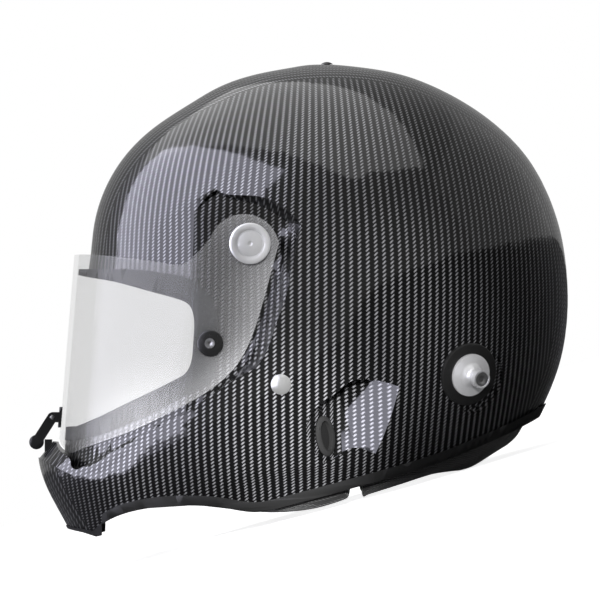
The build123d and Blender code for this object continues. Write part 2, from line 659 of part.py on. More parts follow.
knob -= Pos(0, 0, (PIVOT_STUD_LENGTH + SEAT_GAP) / 2) * Cylinder(
    PIVOT_STUD_RADIUS + SEAT_GAP, PIVOT_STUD_LENGTH + SEAT_GAP)
knob_plane = Plane(origin=(shoulder_x + SEAT_GAP, 0, 0), x_dir=(0, 1, 0), z_dir=(1, 0, 0))
pieces["pivot_knobs"] = pair(knob_plane * knob)

# Tear-off posts on the visor
post_low = SEAT_GAP + TEAROFF_NECK_HEIGHT
button = turned([
    (TEAROFF_SHANK_RADIUS + SEAT_GAP, SEAT_GAP), (TEAROFF_NECK_RADIUS, SEAT_GAP),
    (TEAROFF_NECK_RADIUS, post_low), (TEAROFF_RADIUS, post_low),
    (TEAROFF_RADIUS, TEAROFF_HEIGHT - TEAROFF_ROUND),
    (TEAROFF_RADIUS - TEAROFF_ROUND, TEAROFF_HEIGHT),
    (TEAROFF_SHANK_RADIUS + SEAT_GAP, TEAROFF_HEIGHT),
])
pieces["tearoff_posts"] = pair(tearoff_plane * button)
screw_low = TEAROFF_HEIGHT + SEAT_GAP
screw_top = screw_low + TEAROFF_SCREW_HEIGHT
screw = turned([
    (0, SEAT_GAP - VISOR_WALL), (TEAROFF_SHANK_RADIUS, SEAT_GAP - VISOR_WALL),
    (TEAROFF_SHANK_RADIUS, screw_low), (TEAROFF_SCREW_RADIUS, screw_low),
    (TEAROFF_SCREW_RADIUS, screw_top), (TEAROFF_SHANK_RADIUS, screw_top),
    (0, screw_low),
])
pieces["tearoff_screws"] = pair(tearoff_plane * screw)

# Chin latch: bracket, pin and lever on the visor, catch on the shell
ear_inner = LATCH_WIDTH / 2 + FIT_GAP
ear_outer = ear_inner + LATCH_EAR
pad_skin = visor_block(-LATCH_PAD_THICKNESS) - visor_block(-SEAT_GAP)
bracket = pad_skin & (Pos(0, LATCH_PIN_Y, LATCH_PIN_Z) * Box(
    2 * ear_outer, OVERRUN, 2 * LATCH_PAD_HALF_HEIGHT))
pin_place = Pos(0, LATCH_PIN_Y, LATCH_PIN_Z)
boss_radius = LATCH_PIN_RADIUS + LATCH_BOSS_WALL
nose_y = -VISOR_HALF_WIDTH - VISOR_NOSE_SHIFT + LATCH_PIN_Z * sin(radians(VISOR_RAKE))
ear_reach = nose_y - LATCH_PIN_Y
ear_sketch = Circle(boss_radius) + Pos(ear_reach / 2, 0) * Rectangle(ear_reach, 2 * boss_radius)
ears = pin_place * extrude(Plane.YZ * ear_sketch, ear_outer, both=True)
ears -= pin_place * Box(2 * ear_inner, OVERRUN, OVERRUN)
ears -= visor_block(-SEAT_GAP)
pin_bore = pin_place * extrude(Plane.YZ * Circle(LATCH_PIN_RADIUS + SEAT_GAP), OVERRUN, both=True)
pieces["latch_bracket"] = (bracket + ears) - pin_bore
pieces["latch_pin"] = pin_place * extrude(
    Plane.YZ * Circle(LATCH_PIN_RADIUS), ear_outer + SEAT_GAP, both=True)
knob_y = LATCH_KNOB_Y - LATCH_PIN_Y
knob_z = LATCH_KNOB_Z - LATCH_PIN_Z
arm_turn = degrees(atan2(knob_z, knob_y))
arm = Rot(0, 0, arm_turn) * Pos(hypot(knob_y, knob_z) / 2, 0) * Rectangle(
    hypot(knob_y, knob_z), LATCH_ARM)
lever_sketch = Circle(boss_radius) + arm + Pos(knob_y, knob_z) * Circle(LATCH_KNOB_RADIUS)
lever = pin_place * extrude(Plane.YZ * lever_sketch, LATCH_WIDTH / 2, both=True)
lever_bore = pin_place * extrude(
    Plane.YZ * Circle(LATCH_PIN_RADIUS + PIVOT_RUNNING_GAP), OVERRUN, both=True)
pieces["latch_lever"] = lever - lever_bore
catch = Pos(0, CATCH_Y, CATCH_Z) * Box(2 * CATCH_HALF_WIDTH, CATCH_REACH, CATCH_HEIGHT)
catch_seat = body(-SEAT_GAP) - Pos(0, 0, SEAT_GAP) * facet_cutter()
pieces["latch_catch"] = catch - catch_seat

# Head restraint anchors
washer_low = SEAT_GAP - ANCHOR_SEAT_DEPTH
washer_top = washer_low + ANCHOR_WASHER_THICKNESS
bore = ANCHOR_BOLT_RADIUS + SEAT_GAP
disc = turned([
    (bore, washer_low), (ANCHOR_WASHER_RADIUS, washer_low),
    (ANCHOR_WASHER_RADIUS, washer_top - KNOB_CHAMFER),
    (ANCHOR_WASHER_RADIUS - KNOB_CHAMFER, washer_top), (bore, washer_top),
])
pieces["anchor_washers"] = pair(anchor_plane * disc)
flange_low = washer_top + SEAT_GAP
flange_top = flange_low + ANCHOR_FLANGE_THICKNESS
cone_top = flange_top + ANCHOR_CONE_HEIGHT
neck_top = cone_top + ANCHOR_NECK_LENGTH
head_top = neck_top + ANCHOR_HEAD_LENGTH
sink_low = head_top - ANCHOR_BOLT_HEAD_HEIGHT
sink = ANCHOR_BOLT_HEAD_RADIUS + SEAT_GAP
anchor = turned([
    (bore, flange_low), (ANCHOR_FLANGE_RADIUS, flange_low), (ANCHOR_FLANGE_RADIUS, flange_top),
    (ANCHOR_NECK_RADIUS + ANCHOR_CONE_HEIGHT, flange_top), (ANCHOR_NECK_RADIUS, cone_top),
    (ANCHOR_NECK_RADIUS, neck_top), (ANCHOR_HEAD_RADIUS, neck_top),
    (ANCHOR_HEAD_RADIUS, head_top), (sink, head_top), (sink, sink_low), (bore, sink_low),
])
pieces["anchor_posts"] = pair(anchor_plane * anchor)
nut_top = -ANCHOR_NUT_DEPTH
nut_low = nut_top - ANCHOR_NUT_THICKNESS
bolt_low = sink_low + SEAT_GAP
bolt_top = head_top - SEAT_GAP
bolt = Pos(0, 0, (nut_low + bolt_low) / 2) * Cylinder(ANCHOR_BOLT_RADIUS, bolt_low - nut_low)
bolt += Pos(0, 0, (bolt_low + bolt_top) / 2) * Cylinder(
    ANCHOR_BOLT_HEAD_RADIUS, bolt_top - bolt_low)
bolt -= Pos(0, 0, bolt_top) * extrude(
    RegularPolygon(ANCHOR_HEX / 2, 6, major_radius=False), ANCHOR_HEX_DEPTH, both=True)
pieces["anchor_bolts"] = pair(anchor_plane * bolt)
nut = Pos(0, 0, (nut_low + nut_top) / 2) * (
    Cylinder(ANCHOR_NUT_RADIUS, ANCHOR_NUT_THICKNESS) - Cylinder(bore, ANCHOR_NUT_THICKNESS))
pieces["anchor_nuts"] = pair(anchor_plane * nut)

# Strap rivets
tail_top = -ANCHOR_NUT_DEPTH
tail_low = tail_top - RIVET_TAIL_THICKNESS
dome_radius = (RIVET_RADIUS ** 2 + RIVET_DOME_HEIGHT ** 2) / (2 * RIVET_DOME_HEIGHT)
dome = Pos(0, 0, SEAT_GAP + RIVET_DOME_HEIGHT - dome_radius) * Sphere(dome_radius)
dome &= Pos(0, 0, SEAT_GAP + OVERRUN / 2) * Box(OVERRUN, OVERRUN, OVERRUN)
rivet = dome + Pos(0, 0, (SEAT_GAP + tail_low) / 2) * Cylinder(
    RIVET_SHANK_RADIUS, SEAT_GAP - tail_low)
rivet += Pos(0, 0, (tail_low + tail_top) / 2) * Cylinder(RIVET_TAIL_RADIUS, RIVET_TAIL_THICKNESS)
pieces["strap_rivets"] = pair(rivet_plane * rivet)

# Air ports: an oval rubber grommet with a plug in it
rim = extrude(Ellipse(PORT_HALF_WIDTH, PORT_HALF_HEIGHT), PORT_RIM_HEIGHT)
rim = chamfer(rim.edges().sort_by(Axis.Z)[-1], PORT_FLANGE)
neck = Pos(0, 0, SEAT_GAP) * extrude(
    Ellipse(neck_width - SEAT_GAP, neck_height - SEAT_GAP), -SHELL_WALL)
port_bore = extrude(Ellipse(PORT_HALF_WIDTH - PORT_RIM, PORT_HALF_HEIGHT - PORT_RIM),
                    OVERRUN, both=True)
grommet = Pos(0, 0, SEAT_GAP) * rim + neck - port_bore
pieces["port_grommets"] = pair(port * grommet)
plug = Pos(0, 0, -PORT_PLUG_DEPTH) * extrude(
    Ellipse(PORT_HALF_WIDTH - PORT_RIM - SEAT_GAP, PORT_HALF_HEIGHT - PORT_RIM - SEAT_GAP),
    PORT_PLUG_DEPTH + SEAT_GAP - SHELL_WALL)
pieces["port_plugs"] = pair(port * plug)

# Crown plug
button_radius = (PLUG_RADIUS ** 2 + PLUG_DOME_HEIGHT ** 2) / (2 * PLUG_DOME_HEIGHT)
button_dome = Pos(0, 0, PLUG_SEAT_GAP + PLUG_DOME_HEIGHT - button_radius) * Sphere(button_radius)
button_dome &= Pos(0, 0, PLUG_SEAT_GAP + OVERRUN / 2) * Box(OVERRUN, OVERRUN, OVERRUN)
button_dome += Pos(0, 0, (PLUG_SEAT_GAP - SHELL_WALL) / 2) * Cylinder(
    PLUG_SHANK_RADIUS, SHELL_WALL + PLUG_SEAT_GAP)
pieces["crown_plug"] = crown * button_dome

# Foam liner and chin foam
foam_form = inside_form(SHELL_WALL + FOAM_GAP)
nut_recess = anchor_plane * Pos(0, 0, (nut_low - FIT_GAP + OVERRUN) / 2) * Cylinder(
    ANCHOR_NUT_RADIUS + FIT_GAP, OVERRUN - nut_low + FIT_GAP)
tail_recess = rivet_plane * Pos(0, 0, (tail_low - FIT_GAP + OVERRUN) / 2) * Cylinder(
    RIVET_TAIL_RADIUS + FIT_GAP, OVERRUN - tail_low + FIT_GAP)
post_recess = cylinder_x(PIVOT_NUT_RADIUS + FIT_GAP, inner_x - PIVOT_NUT_THICKNESS - FIT_GAP,
                         FLOOR_X)
head_space = cavity(0)
mouth_space = mouth(0)
foam = foam_form - [head_space, mouth_space, eye_port, under_pads(PAD_HEIGHT + FIT_GAP)]
foam = drilled(foam, [nut_recess, tail_recess, post_recess])
foam_solids = sorted(foam.solids(), key=lambda solid: solid.volume)
pieces["foam_liner"] = foam_solids[-1]
chin_block = Pos(0, CHEEK_PAD_FRONT_Y - OVERRUN, (CHIN_FOAM_TOP_Z + CHIN_FOAM_LOW_Z) / 2) * Box(
    SHELL_WIDTH, 2 * OVERRUN, CHIN_FOAM_TOP_Z - CHIN_FOAM_LOW_Z)
chin_foam = (foam_form & chin_block) - [mouth_space, eye_port]
pieces["chin_foam"] = sorted(chin_foam.solids(), key=lambda solid: solid.volume)[-1]

# Chin strap: a band from each cheek pad, joined by two flat rings
half_stack = RING_THICKNESS + FIT_GAP
loop_x = RING_PITCH / 2
loop_outer = half_stack + FIT_GAP + STRAP_THICKNESS
loop_half = RING_BAR / 2 + FIT_GAP
band_face = make_face(Polyline(
    (STRAP_TOP_X, STRAP_TOP_Z), (STRAP_BEND_X, STRAP_BEND_Z),
    (loop_x + loop_half + STRAP_THICKNESS, STRAP_LOW_Z + STRAP_THICKNESS / 2),
    (loop_x + loop_half + STRAP_THICKNESS, STRAP_LOW_Z - STRAP_THICKNESS / 2),
    (STRAP_BEND_X + STRAP_THICKNESS, STRAP_BEND_Z - STRAP_THICKNESS),
    (STRAP_TOP_X + STRAP_THICKNESS, STRAP_TOP_Z), close=True))
loop_face = Pos(loop_x, STRAP_LOW_Z) * (
    Rectangle(2 * (loop_half + STRAP_THICKNESS), 2 * loop_outer)
    - Rectangle(2 * loop_half, 2 * (half_stack + FIT_GAP)))
strap = Pos(0, STRAP_Y, 0) * extrude(
    Plane.XZ * (band_face + loop_face), STRAP_WIDTH / 2, both=True)
strap_slot = Pos(0, STRAP_Y, 0) * extrude(
    Plane.XZ * offset(band_face, FIT_GAP), STRAP_WIDTH / 2 + FIT_GAP, both=True)
pieces["chin_strap_left"] = strap
pieces["chin_strap_right"] = mirror(strap, Plane.YZ)
ring_face = RectangleRounded(RING_PITCH + RING_BAR, RING_WIDTH, RING_CORNER) - RectangleRounded(
    RING_PITCH - RING_BAR, RING_WIDTH - 2 * RING_BAR, RING_CORNER / 2)
rings = [Pos(0, STRAP_Y, STRAP_LOW_Z + shift) * extrude(ring_face, RING_THICKNESS)
         for shift in (FIT_GAP / 2, -FIT_GAP / 2 - RING_THICKNESS)]
pieces["strap_rings"] = Compound(rings)

# Comfort lining: crown liner, cheek pads and neck roll
crown_pad = cavity(FIT_GAP) - [cavity(CROWN_PAD_THICKNESS), eye_port,
                               under_pads(PAD_HEIGHT + CROWN_PAD_RISE)]
crown_pad -= opening_prism(GASKET_EDGE_SHARES, SHELL_WIDTH)
pieces["crown_liner"] = sorted(crown_pad.solids(), key=lambda solid: solid.volume)[-1]
pad_form = inside_form(SHELL_WALL + PAD_WALL_GAP)
pads = (pad_form & (under_pads(PAD_HEIGHT) - under_pads(0))) - [
    cavity(CHEEK_PAD_THICKNESS), mouth(MOUTH_PAD_THICKNESS), under_rest(PAD_CUT)]
pads = drilled(pads, [strap_slot])
cheeks = pads & pad_column(CHEEK_PAD_FRONT_Y + FIT_GAP, CHEEK_PAD_REAR_Y)
for side_name, sign in (("left", 1), ("right", -1)):
    half = Pos(sign * SHELL_WIDTH / 2, 0, 0) * Box(SHELL_WIDTH, 2 * SHELL_LENGTH,
                                                    4 * SHELL_HEIGHT)
    cheek = cheeks & half
    pieces["cheek_pad_" + side_name] = sorted(cheek.solids(), key=lambda solid: solid.volume)[-1]
roll = pads & pad_column(CHEEK_PAD_REAR_Y + PAD_SPLIT_GAP, SHELL_LENGTH)
pieces["neck_roll"] = sorted(roll.solids(), key=lambda solid: solid.volume)[-1]

front_end = stand(pieces["latch_lever"]).bounding_box().min.Y
rear_end = stand(pieces["outer_shell"]).bounding_box().max.Y
centring = Pos(0, -(front_end + rear_end) / 2, 0)
os.makedirs("parts", exist_ok=True)
for name, piece in pieces.items():
    placed = centring * stand(piece)
    print(name, len(placed.solids()), round(placed.volume), placed.bounding_box())
    export_step(placed, "parts/" + name + ".step")
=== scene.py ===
# %% [markdown]
# # A closed racing helmet
#
# The solids of the helmet come in first, each in its true place. They are never moved.
# Blender then gives each one its surface, its soft forms and its light.

import json
import math

import bpy
from mathutils import Matrix, Vector


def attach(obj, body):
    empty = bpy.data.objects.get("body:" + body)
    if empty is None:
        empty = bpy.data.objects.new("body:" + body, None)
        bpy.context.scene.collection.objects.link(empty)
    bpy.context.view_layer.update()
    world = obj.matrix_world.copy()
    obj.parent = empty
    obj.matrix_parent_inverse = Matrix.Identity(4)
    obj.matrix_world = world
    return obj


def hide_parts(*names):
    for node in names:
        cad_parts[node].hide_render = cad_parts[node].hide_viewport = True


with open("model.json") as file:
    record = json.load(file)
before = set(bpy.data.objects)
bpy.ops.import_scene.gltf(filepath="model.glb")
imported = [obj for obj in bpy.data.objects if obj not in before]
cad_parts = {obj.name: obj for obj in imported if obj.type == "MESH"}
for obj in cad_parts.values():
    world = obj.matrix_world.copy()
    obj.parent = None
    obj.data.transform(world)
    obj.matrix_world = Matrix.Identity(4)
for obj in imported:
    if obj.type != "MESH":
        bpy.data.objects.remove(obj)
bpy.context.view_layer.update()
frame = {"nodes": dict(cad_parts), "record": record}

# %% [markdown]
# ## Where things are
#
# The helmet stands tipped back on its padding. Patterns such as the weave run level with
# the wearer's eyes, so a helper turns places from the level helmet to the standing one.

# %% Level and standing places
TILT = math.radians(15.8489)
PIVOT = Vector((0.0, -0.010877, 0.174649))


def standing(x, y, z):
    """A place in metres on the standing helmet, from millimetres off the visor pivot."""
    turned_y = y * math.cos(TILT) + z * math.sin(TILT)
    turned_z = -y * math.sin(TILT) + z * math.cos(TILT)
    return PIVOT + Vector((x, turned_y, turned_z)) / 1000


def body_of_node(name):
    """The body that carries a solid."""
    for body, nodes in frame["record"]["behaviour"]["bodies"].items():
        if name in nodes:
            return body


print("eye level front:", standing(0, -113, -60))


# %% [markdown]
# ## A small way to write materials
#
# A material is a graph of nodes. Written out by hand it is long, so one class wraps a
# socket and lets plain arithmetic build the Math nodes, and one method adds any other node.

# %% Sockets that can be added and multiplied
class Wire:
    """An output socket that takes part in arithmetic."""

    def __init__(self, tree, socket):
        self.tree = tree
        self.socket = socket

    def math(self, operation, *others):
        """A Math node on this socket and the others."""
        node = self.tree.nodes.new("ShaderNodeMath")
        node.operation = operation
        for place, value in enumerate((self,) + others):
            if isinstance(value, Wire):
                self.tree.links.new(value.socket, node.inputs[place])
            else:
                node.inputs[place].default_value = value
        return Wire(self.tree, node.outputs[0])

    def __add__(self, other):
        return self.math("ADD", other)

    def __sub__(self, other):
        return self.math("SUBTRACT", other)

    def __mul__(self, other):
        return self.math("MULTIPLY", other)

    def __truediv__(self, other):
        return self.math("DIVIDE", other)

    def __rsub__(self, other):
        return (self * -1.0) + other

    __radd__ = __add__
    __rmul__ = __mul__


class Finish:
    """A material whose nodes are added one call at a time."""

    def __init__(self, name, **settings):
        self.material = bpy.data.materials.new(name)
        self.material.use_nodes = True
        self.tree = self.material.node_tree
        self.shader = self.tree.nodes["Principled BSDF"]
        for socket, value in settings.items():
            self.set(socket.replace("_", " "), value)

    def set(self, socket, value):
        """Set or link one input of the main shader."""
        if isinstance(value, Wire):
            self.tree.links.new(value.socket, self.shader.inputs[socket])
        else:
            self.shader.inputs[socket].default_value = value

    def node(self, kind, output=0, settings=(), **inputs):
        """Add a node, set it up, feed it, and return one of its outputs."""
        node = self.tree.nodes.new("ShaderNode" + kind)
        for setting, value in dict(settings).items():
            setattr(node, setting, value)
        for key, value in inputs.items():
            place = int(key[1:]) if key[0] == "i" and key[1:].isdigit() else key.replace("_", " ")
            if isinstance(value, Wire):
                self.tree.links.new(value.socket, node.inputs[place])
            else:
                node.inputs[place].default_value = value
        return Wire(self.tree, node.outputs[output])

    def blend(self, share, first, second):
        """A colour between two colours."""
        return self.node("Mix", 2, {"data_type": "RGBA"}, i0=share, i6=first, i7=second)

    def speckle(self, scale, detail):
        """Soft noise from 0 to 1 that is fixed to the piece."""
        place = self.node("TexCoord", "Object")
        return self.node("TexNoise", 0, Vector=place, Scale=scale, Detail=detail)

    def mottle(self, scale, span, detail=2.0):
        """Let the roughness wander over a span about its own value."""
        middle = self.shader.inputs["Roughness"].default_value
        self.set("Roughness", self.speckle(scale, detail) * span + (middle - span / 2))

    def relief(self, height, depth):
        """Raise the surface by a pattern, in metres."""
        self.set("Normal", self.node("Bump", 0, Height=height, Distance=depth, Strength=1.0))


def grey(value, lift=0.0):
    """A neutral colour, a little bluer with lift."""
    return (value, value, value + lift, 1.0)


print("material tools ready")

# %% [markdown]
# ## Twill carbon under clear coat
#
# The shell is woven from flat black tows that cross at right angles, two over and two
# under, so ribs run up the side. A tow shines when its fibres lie across the light. Here
# that shine is painted into the base colour: one direction shows as painted bright dashes,
# brightest on each tow's bulge, while the other stays black. The weave is laid out from
# each side of the helmet as a map is from its pole, so it stays even. A strip of cloth of
# its own runs over the middle, from the brow to the nape.

# %% The weave and the coat
TOW = 0.0019
MAP_POLE_Y = 0.040
MAP_POLE_Z = -0.010
HALF_WIDTH = 0.127
SPREAD_SHARE = 0.8
SPREAD_REACH = 0.05
STRIP_HALF = 0.048
STRIP_RADIUS = 0.155
FIRST_CELL = 400.0
SHINE_SHARPNESS = 3.5


def weave(finish):
    """Where the tow painted with sheen lies on top, and how far it bulges across and along itself.
    """
    place = finish.node("TexCoord", "Object")
    place = finish.node("Mapping", 0, {"vector_type": "TEXTURE"}, Vector=place,
                        Location=tuple(PIVOT), Rotation=(-TILT, 0.0, 0.0))
    x = finish.node("SeparateXYZ", 0, Vector=place)
    y = finish.node("SeparateXYZ", 1, Vector=place) - MAP_POLE_Y
    z = finish.node("SeparateXYZ", 2, Vector=place) - MAP_POLE_Z
    reach = (y * y + z * z).math("SQRT")
    drop = HALF_WIDTH - x.math("ABSOLUTE")
    spread = drop * SPREAD_SHARE * reach / (reach * reach + SPREAD_REACH ** 2) + 1.0
    strip = x.math("ABSOLUTE").math("LESS_THAN", STRIP_HALF)
    girth = y.math("ARCTAN2", z) * STRIP_RADIUS
    u = (y * spread + strip * (x - y * spread)) / (TOW * math.sqrt(2))
    v = (z * spread + strip * (girth - z * spread)) / (TOW * math.sqrt(2))
    along = u + v + FIRST_CELL
    across = u - v + FIRST_CELL
    cell_along = along.math("FLOOR")
    cell_across = across.math("FLOOR")
    step = (cell_along + cell_across).math("MODULO", 4.0)
    over = step.math("LESS_THAN", 1.5)
    crown = (across - cell_across) * (1.0 - (across - cell_across)) * 4.0
    float_run = (step.math("MODULO", 2.0) + (along - cell_along)) * 0.5
    belly = float_run * (1.0 - float_run) * 4.0
    return over, crown, belly


carbon = Finish("twill carbon", Roughness=0.36, Specular_IOR_Level=0.05, Coat_Weight=1.0,
                Coat_Roughness=0.07, Coat_IOR=1.5, Metallic=0.6)
over, crown, belly = weave(carbon)
# Painted sheen: the upper tows get a bright base colour in place of the light they catch,
# brightest at the middle of each bulge.
painted_tow_sheen = over * belly * crown.math("POWER", SHINE_SHARPNESS)
carbon.set("Base Color", carbon.blend(painted_tow_sheen, grey(0.004), grey(0.3, 0.015)))
print("carbon nodes:", len(carbon.tree.nodes))

# %% [markdown]
# ## The plainer finishes
#
# Rubber scatters light and hardly shines. Metal and plastic are never even, so their
# roughness wanders a little, which softens the highlights. The visor is a clear sheet with
# a pale layer painted on it, a painted reflection that veils what is behind it in grey, and
# its coat keeps a sharp reflection.

# %% Rubber, metal, plastic and foam
gasket_rubber = Finish("black rubber", Base_Color=grey(0.012), Roughness=0.55)
trim_rubber = Finish("dark grey rubber", Base_Color=grey(0.012), Roughness=0.5)
satin_metal = Finish("satin aluminium", Base_Color=grey(0.72, 0.01), Metallic=0.55, Roughness=0.34)
bright_steel = Finish("polished steel", Base_Color=grey(0.3), Metallic=0.8, Roughness=0.3)
dark_steel = Finish("blackened steel", Base_Color=grey(0.12), Metallic=1.0, Roughness=0.35)
anodised = Finish("black anodised", Base_Color=grey(0.014), Metallic=0.3, Roughness=0.32)
black_plastic = Finish("black plastic", Base_Color=grey(0.012), Roughness=0.25)
friction = Finish("friction sheet", Base_Color=grey(0.6), Roughness=0.5)
port_insert = Finish("port insert", Base_Color=grey(0.006), Roughness=0.6)
foam = Finish("beaded foam", Base_Color=grey(0.02), Roughness=0.8)
beads = foam.node("TexVoronoi", 0, Vector=foam.node("TexCoord", "Object"), Scale=260.0)
foam.relief(beads, 0.0008)
for finish, scale in ((gasket_rubber, 900.0), (trim_rubber, 700.0), (anodised, 1500.0),
                      (port_insert, 800.0), (friction, 600.0), (black_plastic, 400.0)):
    finish.mottle(scale, 0.12)
for finish, scale in ((satin_metal, 500.0), (bright_steel, 350.0), (dark_steel, 300.0)):
    finish.mottle(scale, 0.14, 6.0)

# Painted reflection: the pale base colour at alpha 0.13 lays a light grey veil over what is behind
# the clear visor.
visor_sheet = Finish("visor sheet", Base_Color=(0.72, 0.72, 0.74, 1.0), Roughness=0.2,
                     Coat_Weight=1.0, Coat_Roughness=0.01, Alpha=0.13)
visor_sheet.material.use_transparent_shadow = True
print("plain finishes:", len(bpy.data.materials))

# %% [markdown]
# ## Cloth finishes
#
# The pads are covered in a fine knit and the strap is woven webbing. Both take their
# thread from a fine wave pattern, raised a little, so they look soft and not painted.

# %% Knit and webbing
knit = Finish("black knit", Base_Color=grey(0.012), Roughness=0.85, Sheen_Weight=0.25)
place = knit.node("TexCoord", "Object")
rows = knit.node("TexWave", 1, {"bands_direction": "DIAGONAL"}, Vector=place, Scale=260.0)
columns = knit.node("TexWave", 1, {"bands_direction": "X"}, Vector=place, Scale=300.0)
knit.relief(rows * columns, 0.0004)
webbing = Finish("black webbing", Base_Color=grey(0.02), Roughness=0.7)
place = webbing.node("TexCoord", "Object")
ribs = webbing.node("TexWave", 1, {"bands_direction": "Y"}, Vector=place, Scale=180.0)
webbing.relief(ribs, 0.0005)
print("cloth finishes ready")

# %% [markdown]
# ## Put a finish on every solid
#
# Each solid is of one material, so a plain table says which. The latch lever and its
# bracket are black anodised, as are the washers under the head restraint posts.

# %% The table of finishes
FINISHES = {
    "outer_shell": carbon, "latch_bracket": anodised, "latch_lever": anodised,
    "eyeport_gasket": gasket_rubber, "port_grommets": gasket_rubber,
    "base_trim": trim_rubber, "chin_trim": trim_rubber, "visor": visor_sheet,
    "pivot_posts": satin_metal, "pivot_knobs": satin_metal, "anchor_posts": satin_metal,
    "pivot_washers": friction, "tearoff_posts": black_plastic, "latch_catch": black_plastic,
    "crown_plug": black_plastic, "tearoff_screws": bright_steel, "latch_pin": bright_steel,
    "anchor_bolts": bright_steel, "strap_rivets": bright_steel, "strap_rings": bright_steel,
    "anchor_washers": anodised, "anchor_nuts": dark_steel, "port_plugs": port_insert,
    "foam_liner": foam, "chin_foam": foam, "crown_liner": knit, "cheek_pad_left": knit,
    "cheek_pad_right": knit, "neck_roll": knit, "chin_strap_left": webbing,
    "chin_strap_right": webbing,
}


def dress(obj, finish):
    """Give an object one material."""
    obj.data.materials.clear()
    obj.data.materials.append(finish.material)


for name, node in frame["nodes"].items():
    dress(node, FINISHES[name])
print("dressed:", len(frame["nodes"]))

# %% [markdown]
# ## Smooth copies of the solids
#
# A solid comes in as loose flat triangles, which would show as facets under a gloss coat.
# A copy has its points merged and is shaded smooth except at real edges. The copy then
# stands for the solid. The shell and the visor count gentler bends as edges.

# %% Merge and smooth
EDGE_ANGLE = 32.0
EDGE_ANGLES = {"outer_shell": 13.0, "visor": 25.0}
SAME_POINT = 0.00001


def select_only(obj):
    """Make one object the only one selected."""
    bpy.ops.object.select_all(action="DESELECT")
    obj.select_set(True)
    bpy.context.view_layer.objects.active = obj


def smooth_copy(name, angle):
    """A merged and smoothed copy of a solid, which replaces it."""
    source = frame["nodes"][name]
    obj = source.copy()
    obj.data = source.data.copy()
    obj.name = "finished_" + name
    obj.parent = None
    obj.matrix_world = Matrix.Identity(4)
    bpy.context.scene.collection.objects.link(obj)
    select_only(obj)
    bpy.ops.object.mode_set(mode="EDIT")
    bpy.ops.mesh.select_all(action="SELECT")
    bpy.ops.mesh.remove_doubles(threshold=SAME_POINT)
    bpy.ops.object.mode_set(mode="OBJECT")
    bpy.ops.object.shade_smooth_by_angle(angle=math.radians(angle))
    weighted = obj.modifiers.new("weighted normals", "WEIGHTED_NORMAL")
    weighted.keep_sharp = True
    bpy.ops.object.modifier_apply(modifier=weighted.name)
    dress(obj, FINISHES[name])
    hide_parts(name)
    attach(obj, body_of_node(name))
    return obj


smooth_pieces = {name: smooth_copy(name, EDGE_ANGLES.get(name, EDGE_ANGLE))
                 for name in frame["nodes"]}
print("smooth copies:", len(smooth_pieces),
      "points:", sum(len(obj.data.vertices) for obj in smooth_pieces.values()))

# %% [markdown]
# ## Swell the pads
#
# The pads are foam in a knitted cover, so their edges are round and their faces are full.
# An even skin of small squares is laid over each pad and drawn in a little. A short cloth
# run with air pressure inside then swells it, and a cap keeps the swelling within what the
# skin was drawn in by. The crown liner is thin and gets the skin alone. The sewn channels
# are pressed in at the end.

# %% Cloth with pressure
VOXEL = 0.006
STEPS = 12
DRAWN_IN = 0.003
RELAX_ROUNDS = 4
PRESSURE = 4.0
SHALLOW_SEAM = 0.0012
CROWN_LANES = (-0.028, 0.028)


def cheek_seam(place):
    """How far a place lies above the sloping seam of a cheek pad."""
    return place.z - 0.045 + 0.2 * (place.y + 0.05)


def neck_seam(place):
    """How far a place lies above the sloping seam of the neck roll."""
    return place.z - 0.034 - 0.1 * (place.y - 0.08)


def press(obj, distance, depth=0.0018, width=0.0028):
    """Press a sewn channel into a pad near a seam."""
    for vertex in obj.data.vertices:
        gap = distance(vertex.co)
        vertex.co -= vertex.normal * depth * math.exp(-(gap / width) ** 2)


def even_skin(obj, drawn_in):
    """Lay an even, relaxed skin over a pad, drawn in a little."""
    select_only(obj)
    remesh = obj.modifiers.new("even skin", "REMESH")
    remesh.mode = "VOXEL"
    remesh.voxel_size = VOXEL
    bpy.ops.object.modifier_apply(modifier=remesh.name)
    relax = obj.modifiers.new("relaxed skin", "SMOOTH")
    relax.iterations = RELAX_ROUNDS
    bpy.ops.object.modifier_apply(modifier=relax.name)
    for vertex in obj.data.vertices:
        vertex.co -= vertex.normal * drawn_in


def swell(obj):
    """Blow up a pad with a short cloth run, no further than it was drawn in."""
    before = [vertex.co.copy() for vertex in obj.data.vertices]
    cloth = obj.modifiers.new("swelling", "CLOTH")
    cloth.settings.use_pressure = True
    cloth.settings.uniform_pressure_force = PRESSURE
    cloth.settings.effector_weights.gravity = 0.0
    for step in range(1, STEPS + 1):
        bpy.context.scene.frame_set(step)
    bpy.ops.object.modifier_apply(modifier=cloth.name)
    bpy.context.scene.frame_set(1)
    for vertex, start in zip(obj.data.vertices, before):
        shift = vertex.co - start
        if shift.length > DRAWN_IN:
            vertex.co = start + shift * (DRAWN_IN / shift.length)
        vertex.co.z = max(vertex.co.z, 0.0)


def refine(obj):
    """Split each face of a pad once and shade it smooth."""
    select_only(obj)
    finer = obj.modifiers.new("finer skin", "SUBSURF")
    finer.levels = 1
    bpy.ops.object.modifier_apply(modifier=finer.name)
    bpy.ops.object.shade_smooth()


PADS = ["cheek_pad_left", "cheek_pad_right", "neck_roll", "crown_liner"]
for name in PADS[:3]:
    even_skin(smooth_pieces[name], DRAWN_IN)
    swell(smooth_pieces[name])
even_skin(smooth_pieces["crown_liner"], DRAWN_IN / 4)
for name in PADS:
    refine(smooth_pieces[name])
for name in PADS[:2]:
    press(smooth_pieces[name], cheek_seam)
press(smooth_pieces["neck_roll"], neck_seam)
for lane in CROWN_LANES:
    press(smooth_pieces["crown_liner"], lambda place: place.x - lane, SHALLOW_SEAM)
print("pads:", [len(smooth_pieces[name].data.vertices) for name in PADS])

# %% [markdown]
# ## The studio
#
# The helmet stands on a pale floor that keeps its shadow. The floor and the sky look white
# to the camera and through the visor. Reflections see them dim, so the gloss coat shows the
# lamps and little else.

# %% Floor and sky
FLOOR_SIZE = 6.0


